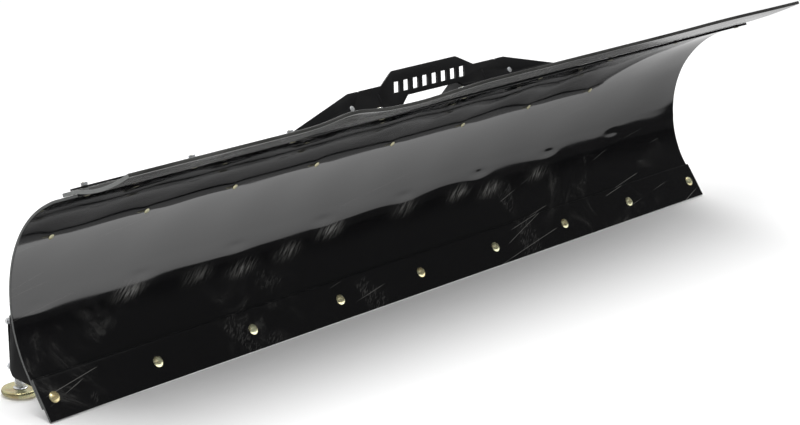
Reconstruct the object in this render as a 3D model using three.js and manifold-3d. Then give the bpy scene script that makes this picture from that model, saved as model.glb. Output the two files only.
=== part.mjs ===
// A 72 in snow-plough blade for a quad bike or side-by-side, as separate parts.
// Millimetres. X runs along the blade, -Y is the snow side, +Y is the vehicle side and +Z is up.
// The parts are drawn around the wear bolts' row, then the whole blade is set on the ground.
import * as THREE from "three";
import { mergeVertices } from "three/addons/utils/BufferGeometryUtils.js";
import Module from "manifold-3d";

const wasm = await Module();
wasm.setup();

// Stock
const INCH = 25.4;
const GAP = 0.3; // left between pieces that touch
const PLATE = 4.76; // mouldboard skin, wear bar, rails and outer ribs
const EAR_PLATE = 6.35; // the two centre ribs, which carry the push frame
const ROUND_SIDES = 24;
const HOLE_SIDES = 12;

// Blade face: a flat foot, two arcs and a flat lip
const BLADE_WIDTH = 72 * INCH;
const FOOT_LEAN = 35; // degrees back from vertical
const FOOT_BELOW = 12.5; // the skin's edge below the wear bolts' row
const FOOT_ABOVE = 50; // the flat runs this far above the row
const LOWER_RADIUS = 195;
const FACE_STRAIGHT = 7; // upright stretch between the arcs
const UPPER_RADIUS = 200;
const LIP_TURN = 70; // degrees of the upper arc
const LIP_LENGTH = 55.2;

// Wear bar and its bolts
const BAR_HEIGHT = 3 * INCH;
const WEAR_BOLTS = 9;
const WEAR_PITCH = 8.75 * INCH;
const WEAR_BOLT = { shank: 4.76, head: 9.9, dome: 4.6, nutFlats: 14.2, nutHeight: 8 };

// Rubber flap on the lip, and the bar that clamps it
const FLAP_WIDTH = 72.25 * INCH;
const FLAP_THICKNESS = 6.35;
const FLAP_GRIP = 32.5; // width of the clamped strip
const FLAP_FREE = 138.8; // from the bend line to the free edge
const FLAP_START_SLOPE = 13.8;
const FLAP_END_SLOPE = 36.8;
const CLAMP_WIDTH = 1 * INCH;
const CLAMP_THICKNESS = 3.18;
const CLAMP_LENGTH = 1812;
const LIP_BOLT_INSET = 10.4; // from the lip's edge
const SMALL_BOLT = { shank: 3.18, head: 7.2, dome: 3.6, nutFlats: 11.1, nutHeight: 4.8 };
const BOLT_END = 0.8; // how far a bolt stands out of its nut

// Frame behind the skin
const RAIL_WIDTH = 1.5 * INCH;
const SKIN_BOLTS = 8;
const SKIN_PITCH = 8 * INCH;
const SKIN_FIRST_X = -846;
const SKIN_BOLT_RISE = 252.5;
const RIB_FOOT = 2; // the ribs' lower edges above the wear bolts' row
const EAR_TOP_TURN = 63.3; // where the centre ribs leave the upper arc for the top plate
const OUTER_RIB_X = 879.4;
const MIDDLE_RIB_X = 508;
const EAR_X = 145;
const OUTER_RIB_DEPTH = 25;
const MIDDLE_RIB_DEPTH = 38;
const REAR_Y = 122; // the skid tubes' axis
const PIVOT = { y: 104, z: 30, reach: 22 }; // the push frame's pin axis, and the ear's edge past it
const BUSH = { bore: 6.7, radius: 11, length: 16 };

// Top plate: it leans back, with its foot on the skin
const TOP_LEAN = 30;
const TOP_ORIGIN = new THREE.Vector2(-35, 358.7);
const TOP_FOOT = -17.6;
const TOP_BOLT = { x: 220, rise: 8 };
const TAB = { low: 0, high: 22 };

// Skid shoes
const TUBE_RADIUS = INCH / 2;
const TUBE_BORE = 9.6;
const TUBE_TOP = 104;
const POST_RADIUS = 9.2;
const POST_TOP = 138;
const POST_COLLAR = { radius: 12.2, height: 2.4 };
const DISC_RADIUS = 32.5;
const DISC_HEIGHT = 12.5;
const SET_SCREW_RISES = { lower: 10, upper: 90 };
const SET_SCREW = { shank: 3.18, headFlats: 11.1, headHeight: 5.5, standOff: 7.8 };

// Where the ground and the middle of the whole blade lie from the wear bolts' row
const GROUND = 33.94;
const MIDDLE = 43.8;

const radians = THREE.MathUtils.degToRad;
const point = (y, z) => new THREE.Vector2(y, z);
const foot = {
  up: point(Math.sin(radians(FOOT_LEAN)), Math.cos(radians(FOOT_LEAN))),
  back: point(Math.cos(radians(FOOT_LEAN)), -Math.sin(radians(FOOT_LEAN))),
};
const lipSlope = 90 - LIP_TURN;
const lip = {
  up: point(-Math.cos(radians(lipSlope)), Math.sin(radians(lipSlope))),
  back: point(Math.sin(radians(lipSlope)), Math.cos(radians(lipSlope))),
};
const top = {
  up: point(Math.sin(radians(TOP_LEAN)), Math.cos(radians(TOP_LEAN))),
  back: point(Math.cos(radians(TOP_LEAN)), -Math.sin(radians(TOP_LEAN))),
};

// A point that lies along and behind a flat whose directions are given.
const onFlat = (origin, flat, along, behind) =>
  origin.clone().addScaledVector(flat.up, along).addScaledVector(flat.back, behind);

// The face's landmarks: the flat foot's plane is a bar and a gap behind the wear bolts' row.
const row = point(0, 0);
const footAt = (along, behind) => onFlat(row, foot, along, behind + PLATE + GAP);
const lowerCentre = footAt(FOOT_ABOVE, -LOWER_RADIUS);
const faceY = lowerCentre.x + LOWER_RADIUS;
const upperCentre = point(faceY - UPPER_RADIUS, lowerCentre.y + FACE_STRAIGHT);
const onUpper = (turn, behind) => {
  const reach = UPPER_RADIUS + behind;
  const angle = radians(turn);
  return point(upperCentre.x + reach * Math.cos(angle), upperCentre.y + reach * Math.sin(angle));
};
const lipStart = onUpper(LIP_TURN, 0);
const lipAt = (along, behind) => onFlat(lipStart, lip, along, behind);
const topAt = (rise, behind) => onFlat(TOP_ORIGIN, top, rise, behind);

// ---- solids ----

function toSolid(geometry) {
  const bare = geometry.clone();
  bare.deleteAttribute("normal");
  bare.deleteAttribute("uv");
  const merged = mergeVertices(bare, 1e-4);
  const vertProperties = merged.attributes.position.array;
  const triVerts = new Uint32Array(merged.index.array);
  return new wasm.Manifold(new wasm.Mesh({ numProp: 3, vertProperties, triVerts }));
}

function toGeometry(solid) {
  const mesh = solid.getMesh();
  const geometry = new THREE.BufferGeometry();
  geometry.setAttribute("position", new THREE.BufferAttribute(mesh.vertProperties, 3));
  geometry.setIndex(new THREE.BufferAttribute(mesh.triVerts, 1));
  geometry.computeVertexNormals();
  return geometry;
}

// A side outline in Y and Z, carried along X between two ends.
function alongX(outline, from, to, curveSegments = 12) {
  const geometry = new THREE.ExtrudeGeometry(outline, {
    depth: to - from,
    bevelEnabled: false,
    curveSegments,
  });
  const turn = new THREE.Matrix4().makeBasis(
    new THREE.Vector3(0, 1, 0),
    new THREE.Vector3(0, 0, 1),
    new THREE.Vector3(1, 0, 0),
  );
  geometry.applyMatrix4(turn);
  geometry.translate(from, 0, 0);
  return toSolid(geometry);
}

// A flat bar along X: its section lies on a flat, between two distances up it and two behind it.
function flatBar(at, low, high, near, far, from, to) {
  const outline = new THREE.Shape([at(low, near), at(high, near), at(high, far), at(low, far)]);
  return alongX(outline, from, to);
}

// Turns a geometry drawn about the Y axis so that Y points along a side direction, at a place.
function aim(geometry, x, place, direction) {
  const axis = new THREE.Vector3(0, direction.x, direction.y);
  const turn = new THREE.Quaternion().setFromUnitVectors(new THREE.Vector3(0, 1, 0), axis);
  geometry.applyQuaternion(turn);
  geometry.translate(x, place.x, place.y);
  return toSolid(geometry);
}

function drill(solid, x, place, direction, radius, sides = HOLE_SIDES) {
  const cutter = new THREE.CylinderGeometry(radius, radius, 80, sides);
  return solid.subtract(aim(cutter, x, place, direction));
}

// A carriage bolt with its nut on: the domed head stands in front of the place, the rest behind.
function bolt(size, x, place, direction, grip) {
  const edge = 0.8;
  const profile = [point(0, -size.dome - GAP)];
  for (const share of [0.45, 0.8, 1]) {
    const fall = (size.dome - edge) * share * share;
    profile.push(point(size.head * share, -size.dome - GAP + fall));
  }
  const end = grip + GAP + size.nutHeight + BOLT_END;
  profile.push(point(size.head, -GAP), point(size.shank, -GAP));
  profile.push(point(size.shank, end), point(0, end));
  const body = aim(new THREE.LatheGeometry(profile, HOLE_SIDES), x, place, direction);
  const corner = size.nutFlats / Math.sqrt(3);
  const nut = new THREE.CylinderGeometry(corner, corner, size.nutHeight, 6);
  nut.translate(0, grip + GAP + size.nutHeight / 2, 0);
  return body.add(aim(nut, x, place, direction));
}

// ---- the blade ----

// Adds the face's curve, at a distance behind it, from the foot up to a turn on the upper arc.
function faceUp(outline, behind, turn) {
  outline.lineTo(...footAt(FOOT_ABOVE, behind).toArray());
  const lowerReach = LOWER_RADIUS + behind;
  outline.absarc(lowerCentre.x, lowerCentre.y, lowerReach, radians(-FOOT_LEAN), 0, false);
  outline.absarc(upperCentre.x, upperCentre.y, UPPER_RADIUS + behind, 0, radians(turn), false);
}

function faceDown(outline, behind, turn) {
  outline.absarc(upperCentre.x, upperCentre.y, UPPER_RADIUS + behind, radians(turn), 0, true);
  const lowerReach = LOWER_RADIUS + behind;
  outline.absarc(lowerCentre.x, lowerCentre.y, lowerReach, 0, radians(-FOOT_LEAN), true);
}

const wearBoltXs = [];
for (let i = 0; i < WEAR_BOLTS; i += 1) {
  wearBoltXs.push((i - (WEAR_BOLTS - 1) / 2) * WEAR_PITCH);
}
const skinBoltXs = [];
for (let i = 0; i < SKIN_BOLTS; i += 1) {
  skinBoltXs.push(SKIN_FIRST_X + i * SKIN_PITCH);
}
const skinBoltTurn = THREE.MathUtils.radToDeg(
  Math.asin((SKIN_BOLT_RISE - upperCentre.y) / UPPER_RADIUS),
);
const skinBoltBack = point(Math.cos(radians(skinBoltTurn)), Math.sin(radians(skinBoltTurn)));
const skinBoltUp = point(-skinBoltBack.y, skinBoltBack.x);
const lipBoltAlong = LIP_LENGTH - LIP_BOLT_INSET;

function mouldboard() {
  const outline = new THREE.Shape();
  outline.moveTo(...footAt(-FOOT_BELOW, 0).toArray());
  faceUp(outline, 0, LIP_TURN);
  outline.lineTo(...lipAt(LIP_LENGTH, 0).toArray());
  outline.lineTo(...lipAt(LIP_LENGTH, PLATE).toArray());
  faceDown(outline, PLATE, LIP_TURN);
  outline.lineTo(...footAt(-FOOT_BELOW, PLATE).toArray());
  let solid = alongX(outline, -BLADE_WIDTH / 2, BLADE_WIDTH / 2, 16);
  for (const x of wearBoltXs) {
    solid = drill(solid, x, row, foot.back, WEAR_BOLT.shank + GAP);
    solid = drill(solid, x, lipAt(lipBoltAlong, 0), lip.back, SMALL_BOLT.shank + GAP);
  }
  for (const x of skinBoltXs) {
    solid = drill(solid, x, onUpper(skinBoltTurn, 0), skinBoltBack, SMALL_BOLT.shank + GAP);
  }
  return solid;
}

function wearBar() {
  const at = (along, behind) => onFlat(row, foot, along, behind);
  const half = BAR_HEIGHT / 2;
  let solid = flatBar(at, -half, half, 0, PLATE, -BLADE_WIDTH / 2, BLADE_WIDTH / 2);
  for (const x of wearBoltXs) {
    solid = drill(solid, x, row, foot.back, WEAR_BOLT.shank + GAP);
  }
  return solid;
}

// ---- the flap and its clamp ----

const flapNear = PLATE + GAP;
const flapFar = flapNear + FLAP_THICKNESS;
const clampNear = flapFar + GAP;
const clampFar = clampNear + CLAMP_THICKNESS;
const hinge = lipAt(LIP_LENGTH + FLAP_THICKNESS / 2, flapNear + FLAP_THICKNESS / 2);

function flapGrip() {
  const front = LIP_LENGTH - 0.7;
  const half = FLAP_WIDTH / 2;
  let solid = flatBar(lipAt, front - FLAP_GRIP, front, flapNear, flapFar, -half, half);
  for (const x of wearBoltXs) {
    solid = drill(solid, x, lipAt(lipBoltAlong, 0), lip.back, SMALL_BOLT.shank + GAP);
  }
  return solid;
}

// The free part curls up from the bend line: its two faces are arcs about one centre above it.
function flapFree() {
  const turn = radians(FLAP_END_SLOPE - FLAP_START_SLOPE);
  const radius = FLAP_FREE / turn;
  const half = FLAP_THICKNESS / 2;
  const start = radians(FLAP_START_SLOPE);
  const centre = point(hinge.x + radius * Math.sin(start), hinge.y + radius * Math.cos(start));
  const rootAngle = -Math.PI / 2 - start;
  const tipAngle = rootAngle - turn;
  const outline = new THREE.Shape();
  outline.absarc(centre.x, centre.y, radius + half, rootAngle, tipAngle, true);
  outline.absarc(centre.x, centre.y, radius - half, tipAngle, rootAngle, false);
  outline.absarc(hinge.x, hinge.y, half, Math.PI / 2 - start, rootAngle, true);
  return alongX(outline, -FLAP_WIDTH / 2, FLAP_WIDTH / 2, 8);
}

function clampBar() {
  const front = LIP_LENGTH - 0.7;
  const half = CLAMP_LENGTH / 2;
  let solid = flatBar(lipAt, front - CLAMP_WIDTH, front, clampNear, clampFar, -half, half);
  for (const x of wearBoltXs) {
    solid = drill(solid, x, lipAt(lipBoltAlong, 0), lip.back, SMALL_BOLT.shank + GAP);
  }
  return solid;
}

// ---- the frame ----

const railNear = PLATE + GAP;
const railFar = railNear + PLATE;
const railEnd = OUTER_RIB_X - PLATE / 2 - GAP;
const skinRailAt = (along, behind) =>
  onUpper(skinBoltTurn, behind).addScaledVector(skinBoltUp, along);

function lowerRail(grow = 0) {
  const low = grow - FOOT_BELOW;
  const high = RAIL_WIDTH - FOOT_BELOW + grow;
  const end = railEnd + grow;
  return flatBar(footAt, low - 2 * grow, high, railNear - grow, railFar + grow, -end, end);
}

function middleRail(grow = 0) {
  const half = RAIL_WIDTH / 2 + grow;
  const end = railEnd + grow;
  return flatBar(skinRailAt, -half, half, railNear - grow, railFar + grow, -end, end);
}

function drillRail(solid, xs, place, direction, radius) {
  return xs
    .filter((x) => Math.abs(x) < railEnd)
    .reduce((rest, x) => drill(rest, x, place, direction, radius), solid);
}

// Starts a rib at its lower front corner and runs its front edge up the back of the skin.
function ribFront(outline, footRise, topTurn) {
  const along = (footRise - footAt(0, railNear).y) / foot.up.y;
  outline.moveTo(...footAt(along, railNear).toArray());
  faceUp(outline, railNear, topTurn);
}

// An outer rib is shallow behind the curve and reaches back at the bottom to carry the skid tube.
function outerRib(x) {
  const outline = new THREE.Shape();
  const depth = railNear + OUTER_RIB_DEPTH;
  const topTurn = 50;
  const taperTurn = 25;
  ribFront(outline, -6, topTurn);
  outline.lineTo(...onUpper(topTurn, railNear + 6).toArray());
  outline.lineTo(...onUpper(taperTurn, depth).toArray());
  outline.absarc(upperCentre.x, upperCentre.y, UPPER_RADIUS + depth, radians(taperTurn), 0, true);
  outline.lineTo(REAR_Y - 5, 92);
  outline.lineTo(REAR_Y + 2.5, 12);
  outline.lineTo(REAR_Y - 3, 3);
  outline.lineTo(REAR_Y - 10, 1);
  return alongX(outline, x - PLATE / 2, x + PLATE / 2);
}

function middleRib(x) {
  const outline = new THREE.Shape();
  const depth = railNear + MIDDLE_RIB_DEPTH;
  const topTurn = 54;
  const taperTurn = 26;
  ribFront(outline, RIB_FOOT, topTurn);
  outline.lineTo(...onUpper(topTurn, railNear + 8).toArray());
  outline.lineTo(...onUpper(taperTurn, depth).toArray());
  faceDown(outline, depth, taperTurn);
  outline.lineTo(footAt(FOOT_ABOVE, depth).x - 14, RIB_FOOT);
  return notched(alongX(outline, x - PLATE / 2, x + PLATE / 2));
}

// The centre ribs hold the push frame's pins low down, and a tab of each keys into the top plate.
function centreRib(x) {
  const outline = new THREE.Shape();
  const plateBack = PLATE + GAP;
  const rearY = PIVOT.y + PIVOT.reach;
  const corner = 14;
  ribFront(outline, RIB_FOOT, EAR_TOP_TURN);
  outline.lineTo(...topAt(TAB.low, plateBack).toArray());
  outline.lineTo(...topAt(TAB.low, 0).toArray());
  outline.lineTo(...topAt(TAB.high, 0).toArray());
  outline.lineTo(...topAt(TAB.high, plateBack).toArray());
  outline.lineTo(...topAt(TAB.high + 2, plateBack).toArray());
  outline.lineTo(39, 345);
  outline.lineTo(58, 336);
  outline.lineTo(79, 310);
  outline.lineTo(rearY, 232);
  outline.lineTo(rearY, RIB_FOOT + corner);
  outline.lineTo(rearY - corner, RIB_FOOT);
  const solid = notched(alongX(outline, x - EAR_PLATE / 2, x + EAR_PLATE / 2));
  const radius = BUSH.radius + GAP;
  const hole = new THREE.CylinderGeometry(radius, radius, 4 * EAR_PLATE, ROUND_SIDES);
  hole.rotateZ(Math.PI / 2);
  hole.translate(x, PIVOT.y, PIVOT.z);
  return solid.subtract(toSolid(hole));
}

// A bush welded through a centre rib takes the push frame's pin.
function pivotBush(x) {
  const half = BUSH.length / 2;
  const profile = [point(BUSH.bore, -half), point(BUSH.radius, -half), point(BUSH.radius, half)];
  profile.push(point(BUSH.bore, half), point(BUSH.bore, -half));
  const geometry = new THREE.LatheGeometry(profile, ROUND_SIDES);
  geometry.rotateZ(Math.PI / 2);
  geometry.translate(x, PIVOT.y, PIVOT.z);
  return toSolid(geometry);
}

const notched = (rib) => rib.subtract(lowerRail(GAP)).subtract(middleRail(GAP));

// ---- the top plate ----

// Half the plate's outline, from its foot's end to the middle of its top edge.
function topPlateEdge() {
  const notchHalf = 3;
  const notchX = 190;
  const shoulder = 36.5;
  const edge = [point(420, TOP_FOOT), point(217, shoulder)];
  edge.push(point(notchX + notchHalf, shoulder), point(notchX, shoulder - notchHalf));
  edge.push(point(notchX - notchHalf, shoulder), point(128, shoulder));
  edge.push(point(95, 55.5), point(88, 59));
  return edge;
}

function topPlateOutline() {
  const right = topPlateEdge();
  const window = [point(70, 9), point(108, TOP_FOOT)];
  const mirror = (p) => point(-p.x, p.y);
  const left = right.map(mirror).reverse();
  const windowLeft = window.map(mirror).reverse();
  return new THREE.Shape([...right, ...left, ...windowLeft, ...window]);
}

// A row of plain leaning slots through the plate.
function topPlateSlots() {
  const count = 8;
  const pitch = 26;
  const width = 15;
  const low = 18;
  const high = 38;
  const lean = 5;
  const slots = [];
  for (let i = 0; i < count; i += 1) {
    const x = (i - (count - 1) / 2) * pitch;
    const corners = [point(x - width / 2 - lean, low), point(x + width / 2 - lean, low)];
    corners.push(point(x + width / 2 + lean, high), point(x - width / 2 + lean, high));
    slots.push(new THREE.Shape(corners));
  }
  return slots;
}

// Slots that the centre ribs' tabs fill.
function tabSlots() {
  const half = EAR_PLATE / 2 + GAP;
  const low = TAB.low - GAP;
  const high = TAB.high + GAP;
  return [-EAR_X, EAR_X].map((x) => {
    const corners = [point(x - half, low), point(x + half, low)];
    corners.push(point(x + half, high), point(x - half, high));
    return new THREE.Shape(corners);
  });
}

// An outline drawn on the leaning plate's front face, made solid between two distances behind it.
function onTopPlate(outline, near, far) {
  const geometry = new THREE.ExtrudeGeometry(outline, { depth: far - near, bevelEnabled: false });
  const turn = new THREE.Matrix4().makeBasis(
    new THREE.Vector3(1, 0, 0),
    new THREE.Vector3(0, top.up.x, top.up.y),
    new THREE.Vector3(0, -top.back.x, -top.back.y),
  );
  geometry.translate(0, 0, -far);
  geometry.applyMatrix4(turn);
  geometry.translate(0, TOP_ORIGIN.x, TOP_ORIGIN.y);
  return toSolid(geometry);
}

function topPlate() {
  let solid = onTopPlate(topPlateOutline(), 0, PLATE);
  for (const outline of [...topPlateSlots(), ...tabSlots()]) {
    solid = solid.subtract(onTopPlate(outline, -PLATE, 2 * PLATE));
  }
  for (const side of [-1, 1]) {
    const place = topAt(TOP_BOLT.rise, 0);
    solid = drill(solid, side * TOP_BOLT.x, place, top.back, SMALL_BOLT.shank + GAP);
  }
  return solid;
}

// ---- the skid shoes ----

const skidX = OUTER_RIB_X - PLATE / 2 - GAP - TUBE_RADIUS;

function turned(profile, x, sides = ROUND_SIDES) {
  const geometry = new THREE.LatheGeometry(profile, sides);
  geometry.rotateX(Math.PI / 2);
  geometry.translate(x, REAR_Y, 0);
  return toSolid(geometry);
}

function skidTube(x) {
  const low = RIB_FOOT;
  const profile = [point(TUBE_BORE, low), point(TUBE_RADIUS, low)];
  profile.push(point(TUBE_RADIUS, TUBE_TOP), point(TUBE_BORE, TUBE_TOP), point(TUBE_BORE, low));
  let solid = turned(profile, x);
  for (const rise of Object.values(SET_SCREW_RISES)) {
    const cutter = new THREE.CylinderGeometry(1, 1, 20, HOLE_SIDES);
    cutter.scale(SET_SCREW.shank + GAP, 1, SET_SCREW.shank + GAP);
    cutter.translate(x, REAR_Y + 15, rise);
    solid = solid.subtract(toSolid(cutter));
  }
  return solid;
}

// A plain post with a weld collar where it meets the disc.
function skidPost(x) {
  const low = DISC_HEIGHT - GROUND + GAP;
  const high = low + POST_COLLAR.height;
  const profile = [point(0, low), point(POST_COLLAR.radius, low), point(POST_RADIUS, high)];
  profile.push(point(POST_RADIUS, POST_TOP), point(0, POST_TOP));
  return turned(profile, x);
}

// The disc is flat underneath, with a well-rounded edge and a slightly dished top.
function skidDisc(x) {
  const low = -GROUND;
  const flat = DISC_RADIUS - 12.5;
  const widest = 8;
  const profile = [point(0, low), point(flat, low)];
  for (const turn of [30, 60, 90]) {
    const out = (DISC_RADIUS - flat) * Math.sin(radians(turn));
    profile.push(point(flat + out, low + widest * (1 - Math.cos(radians(turn)))));
  }
  const rim = DISC_HEIGHT - widest;
  profile.push(point(DISC_RADIUS - 1.2, low + widest + rim * 0.7));
  profile.push(point(DISC_RADIUS - 4, low + DISC_HEIGHT), point(0, low + DISC_HEIGHT));
  return turned(profile, x, 28);
}

function setScrew(x, rise) {
  const tip = REAR_Y + POST_RADIUS + GAP;
  const seat = REAR_Y + TUBE_RADIUS + SET_SCREW.standOff;
  const shank = new THREE.CylinderGeometry(SET_SCREW.shank, SET_SCREW.shank, 1, HOLE_SIDES);
  shank.scale(1, seat + 1 - tip, 1);
  shank.translate(x, (seat + 1 + tip) / 2, rise);
  const corner = SET_SCREW.headFlats / Math.sqrt(3);
  const head = new THREE.CylinderGeometry(corner - 1.2, corner, SET_SCREW.headHeight, 6);
  head.translate(x, seat + SET_SCREW.headHeight / 2, rise);
  return toSolid(shank).add(toSolid(head));
}

// ---- materials ----

const finish = (color, roughness, metalness) => () =>
  new THREE.MeshStandardMaterial({ color, roughness, metalness });
const glossSkin = finish(0x0b0b0c, 0.12, 0);
const framePaint = finish(0x0c0c0d, 0.3, 0);
const wornPaint = finish(0x101011, 0.35, 0);
const rubber = finish(0x2b2b2a, 0.75, 0);
const yellowZinc = finish(0xb9a55e, 0.3, 1);
const silverZinc = finish(0xb4b6b8, 0.3, 1);

// ---- the assembly ----

const blade = new THREE.Group();
blade.position.set(0, MIDDLE, GROUND);

function place(name, solid, material) {
  const mesh = new THREE.Mesh(toGeometry(solid), material());
  mesh.name = name;
  blade.add(mesh);
}

place("mouldboard", mouldboard(), glossSkin);
place("wear_bar", wearBar(), wornPaint);
place("flap_grip", flapGrip(), rubber);
place("flap_free", flapFree(), rubber);
place("flap_clamp_bar", clampBar(), framePaint);
const lowerRailHole = WEAR_BOLT.shank + GAP;
place("lower_rail", drillRail(lowerRail(), wearBoltXs, row, foot.back, lowerRailHole), framePaint);
const skinPlace = onUpper(skinBoltTurn, 0);
const middleRailHole = SMALL_BOLT.shank + GAP;
const drilledMiddleRail = drillRail(
  middleRail(),
  skinBoltXs,
  skinPlace,
  skinBoltBack,
  middleRailHole,
);
place("middle_rail", drilledMiddleRail, framePaint);
place("top_plate", topPlate(), framePaint);

for (const [side, sign] of Object.entries({ left: -1, right: 1 })) {
  place("outer_rib_" + side, outerRib(sign * OUTER_RIB_X), framePaint);
  place("middle_rib_" + side, middleRib(sign * MIDDLE_RIB_X), framePaint);
  place("centre_rib_" + side, centreRib(sign * EAR_X), framePaint);
  place("pivot_bush_" + side, pivotBush(sign * EAR_X), framePaint);
  place("skid_tube_" + side, skidTube(sign * skidX), framePaint);
  place("skid_post_" + side, skidPost(sign * skidX), silverZinc);
  place("skid_disc_" + side, skidDisc(sign * skidX), yellowZinc);
  for (const [level, rise] of Object.entries(SET_SCREW_RISES)) {
    place("set_screw_" + side + "_" + level, setScrew(sign * skidX, rise), silverZinc);
  }
  const topGrip = PLATE;
  const topBolt = bolt(
    SMALL_BOLT,
    sign * TOP_BOLT.x,
    topAt(TOP_BOLT.rise, 0),
    top.back,
    topGrip,
  );
  place("top_plate_bolt_" + side, topBolt, silverZinc);
}

wearBoltXs.forEach((x, i) => {
  const onRail = Math.abs(x) < railEnd;
  const wearGrip = PLATE + GAP + (onRail ? railFar : PLATE);
  place("wear_bolt_" + (i + 1), bolt(WEAR_BOLT, x, row, foot.back, wearGrip), yellowZinc);
  const lipBolt = bolt(SMALL_BOLT, x, lipAt(lipBoltAlong, 0), lip.back, clampFar);
  place("flap_bolt_" + (i + 1), lipBolt, yellowZinc);
});
skinBoltXs.forEach((x, i) => {
  place("skin_bolt_" + (i + 1), bolt(SMALL_BOLT, x, skinPlace, skinBoltBack, railFar), yellowZinc);
});

export default blade;
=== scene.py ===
"""Looks for a 72 in snow-plough blade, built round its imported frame.

Metres. X runs along the blade, -Y is the snow side, +Y the vehicle side, +Z up.
"""

import math

import bmesh
import bpy
import numpy as np
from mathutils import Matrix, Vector


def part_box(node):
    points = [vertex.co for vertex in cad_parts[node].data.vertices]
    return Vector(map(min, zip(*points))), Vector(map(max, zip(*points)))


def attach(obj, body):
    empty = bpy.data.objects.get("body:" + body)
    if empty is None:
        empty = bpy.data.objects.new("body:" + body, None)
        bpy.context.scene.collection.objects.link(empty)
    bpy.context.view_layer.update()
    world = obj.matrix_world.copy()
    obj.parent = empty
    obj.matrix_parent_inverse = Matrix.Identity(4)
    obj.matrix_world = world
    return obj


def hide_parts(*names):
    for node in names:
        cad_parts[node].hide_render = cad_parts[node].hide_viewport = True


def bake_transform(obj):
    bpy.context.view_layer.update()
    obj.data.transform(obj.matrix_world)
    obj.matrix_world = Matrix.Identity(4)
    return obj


bl_info = {
    "name": "Snow Plough Blade",
    "version": (1, 0, 0),
    "blender": (4, 5, 0),
    "location": "View3D > Sidebar > Blade",
    "description": "Builds the skin, rubber flap, frame, skid shoes and bolts of a plough blade",
    "category": "Object",
}

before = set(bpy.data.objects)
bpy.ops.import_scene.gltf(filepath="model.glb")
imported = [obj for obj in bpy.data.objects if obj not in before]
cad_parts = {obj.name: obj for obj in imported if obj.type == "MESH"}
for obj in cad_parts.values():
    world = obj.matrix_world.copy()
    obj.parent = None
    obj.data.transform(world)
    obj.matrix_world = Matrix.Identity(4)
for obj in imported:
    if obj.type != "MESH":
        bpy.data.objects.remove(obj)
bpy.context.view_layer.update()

MM = 0.001
GAP = 0.3 * MM
PLATE = 4.76 * MM
FOOT_BELOW = 12.5 * MM
FOOT_ABOVE = 50 * MM
LOWER_RADIUS = 195 * MM
UPPER_RADIUS = 200 * MM
FACE_STRAIGHT = 7 * MM
LIP_LENGTH = 55.2 * MM
LIP_BOLT_INSET = 10.4 * MM
BAR_HALF = 38.1 * MM
FLAP_THICK = 6.35 * MM
FLAP_GRIP = 32.5 * MM
FLAP_REACH = 123.6 * MM
CLAMP_THICK = 3.18 * MM
CLAMP_WIDTH = 25.4 * MM
RAIL_WIDTH = 38.1 * MM
SKIN_BOLT_RISE = 252.5 * MM
TOP_BOLT_RISE = 8 * MM
FOOT_LEAN = math.radians(35)
LIP_TURN = math.radians(70)
TOP_LEAN = math.radians(30)
WEAR_BOLT = (4.76, 9.9, 4.6, 14.2, 8.0)  # shank, head, dome, nut flats, nut height in mm
FLAT_BOLT = (3.18, 5.4, 1.2, 11.1, 4.8)
BOLT_END = 0.8 * MM
NUT_SIDES = 48
PIVOT_BORE = 6.7 * MM
PIVOT_CHAMFER = 0.8 * MM
TUBE_EDGE = 0.3 * MM
POST_RADIUS = 9.2 * MM
POST_FILLET = 12.2 * MM
POST_FILLET_RISE = 2.4 * MM
POST_CHAMFER = 1.0 * MM
DISC_EDGE = 12.5 * MM  # how far the flat bottom stays inside the rim
DISC_WIDEST = 8 * MM  # height of the widest place
DISC_DISH = 0.5 * MM
SCREW_FLATS = 11.1 * MM
SCREW_SHANK = 3.18 * MM
SCREW_HEAD = 5.5 * MM
FLAP_EDGE = 0.9 * MM
FLAP_STEPS = 290
FLAP_RISE = 48.9 * MM
BEAD_SIDES = 10
WELD_INSET = 1.5 * MM
LENS = 95
CAMERA_PLACE = (-2.871, -2.5264, 1.2794)
CAMERA_AIM = (0.7084, 0.6476, -0.2805)
FLOOR_REACH = 30.0
SIDES = ("left", "right")


def box_middle(node):
    """The middle of a CAD node's box."""
    low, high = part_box(node)
    return np.array((low + high) / 2)


# Directions in Y and Z: up a flat, and out of its back.
foot_up = np.array([math.sin(FOOT_LEAN), math.cos(FOOT_LEAN)])
foot_back = np.array([math.cos(FOOT_LEAN), -math.sin(FOOT_LEAN)])
lip_up = np.array([-math.sin(LIP_TURN), math.cos(LIP_TURN)])
lip_back = np.array([math.cos(LIP_TURN), math.sin(LIP_TURN)])
top_up = np.array([math.sin(TOP_LEAN), math.cos(TOP_LEAN)])
top_back = np.array([math.cos(TOP_LEAN), -math.sin(TOP_LEAN)])

row = box_middle("wear_bar")[1:] - foot_back * PLATE / 2  # the wear bolts' row
skin_foot = row + foot_back * (PLATE + GAP)
lower_centre = skin_foot + foot_up * FOOT_ABOVE - foot_back * LOWER_RADIUS
upper_centre = lower_centre + np.array([LOWER_RADIUS - UPPER_RADIUS, FACE_STRAIGHT])
lip_start = upper_centre + UPPER_RADIUS * lip_back
top_origin = row + np.array([-35, 358.7]) * MM
skin_bolt_turn = math.asin((SKIN_BOLT_RISE + row[1] - upper_centre[1]) / UPPER_RADIUS)
skin_bolt_back = np.array([math.cos(skin_bolt_turn), math.sin(skin_bolt_turn)])
skin_bolt_up = np.array([-skin_bolt_back[1], skin_bolt_back[0]])
flap_near = PLATE + GAP
clamp_near = flap_near + FLAP_THICK + GAP
rail_near = PLATE + GAP
rail_far = rail_near + PLATE
flap_hinge = (
    lip_start
    + lip_up * (LIP_LENGTH + FLAP_THICK / 2)
    + lip_back * (flap_near + FLAP_THICK / 2)
)


# ---- settings ----


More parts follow.
